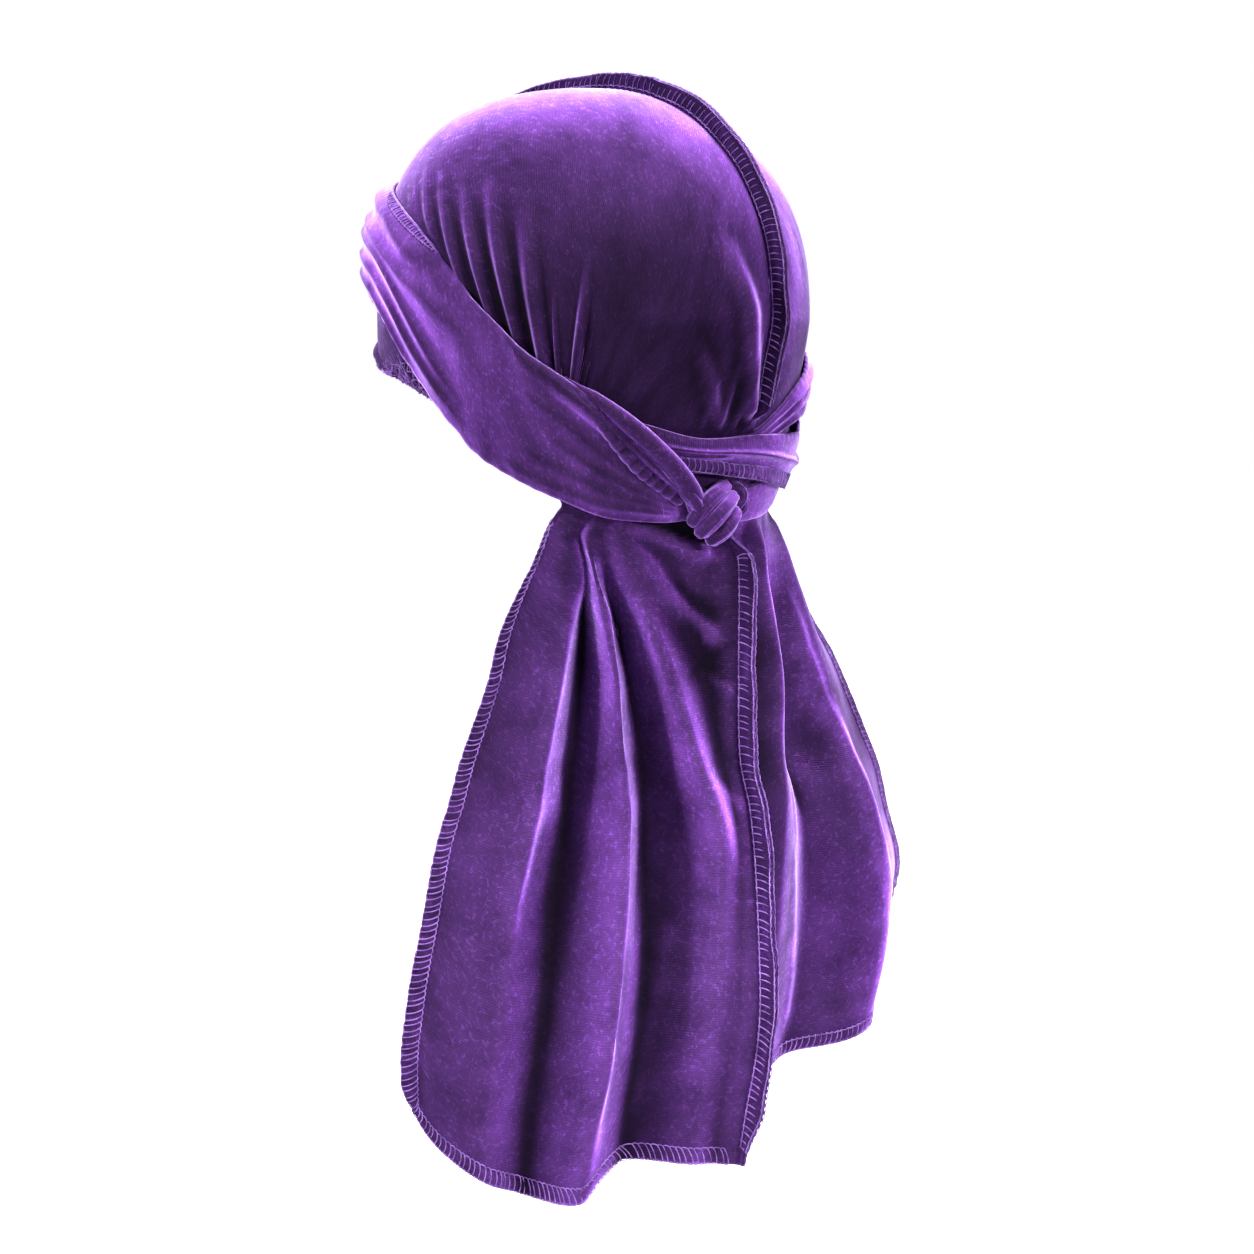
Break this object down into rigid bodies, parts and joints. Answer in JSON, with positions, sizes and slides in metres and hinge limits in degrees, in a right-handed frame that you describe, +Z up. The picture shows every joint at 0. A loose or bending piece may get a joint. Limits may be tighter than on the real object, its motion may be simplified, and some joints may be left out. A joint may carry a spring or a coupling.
{
  "type": "durag",
  "caption": "Velvet durag in its worn form: fitted cap with a raised centre seam, crossed ties knotted at the nape and a long folded cape.",
  "frame": {"origin": "the point where the top of the head touches the inside of the cap, on the centre seam", "axes": "+Z up, along the standing wearer; -Y the way the wearer faces; +X to the wearer's left"},
  "size_m": [0.2476, 0.2186, 0.4888],
  "materials": {
    "velvet": "deep purple stretch velvet with a short crushed pile, bright at grazing angles"
  },
  "bodies": {
    "root": {"left_panel": "velvet", "right_panel": "velvet", "left_tie": "velvet", "right_tie": "velvet", "knot": "velvet"}
  },
  "joints": []
}
